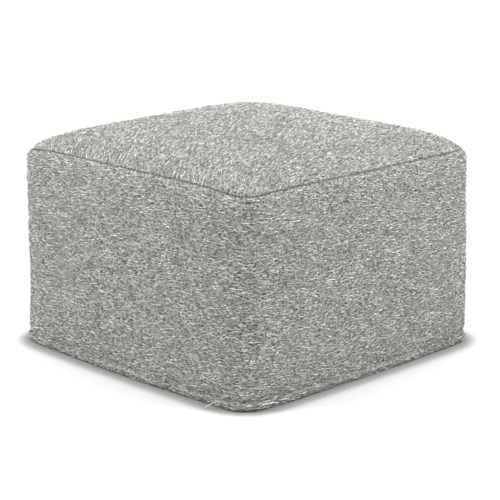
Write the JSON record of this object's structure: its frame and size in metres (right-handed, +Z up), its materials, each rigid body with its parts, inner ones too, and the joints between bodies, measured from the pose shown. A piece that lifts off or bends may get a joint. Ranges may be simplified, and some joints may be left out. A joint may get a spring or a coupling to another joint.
{
  "type": "cube pouf stool",
  "caption": "Low square upholstered pouf stool with a crowned top, softly bowed sides, rounded corners and sewn top and base seams, in nubby boucle cloth.",
  "frame": {"origin": "on the floor, under the middle of the pouf", "axes": "+Z up through the crown of the top, -Y out of the front side, +X out of the right side"},
  "size_m": [0.4979, 0.4992, 0.3345],
  "materials": {
    "boucle_top": "curly loop-pile boucle yarn in warm light grey, matt",
    "boucle_band": "the same boucle, its loops lying mostly along the band, matt",
    "boucle_base": "the same boucle, pressed flatter where it stands on the floor, matt"
  },
  "bodies": {
    "root": {"top_panel": "boucle_top", "side_band": "boucle_band", "base_panel": "boucle_base"}
  },
  "joints": []
}
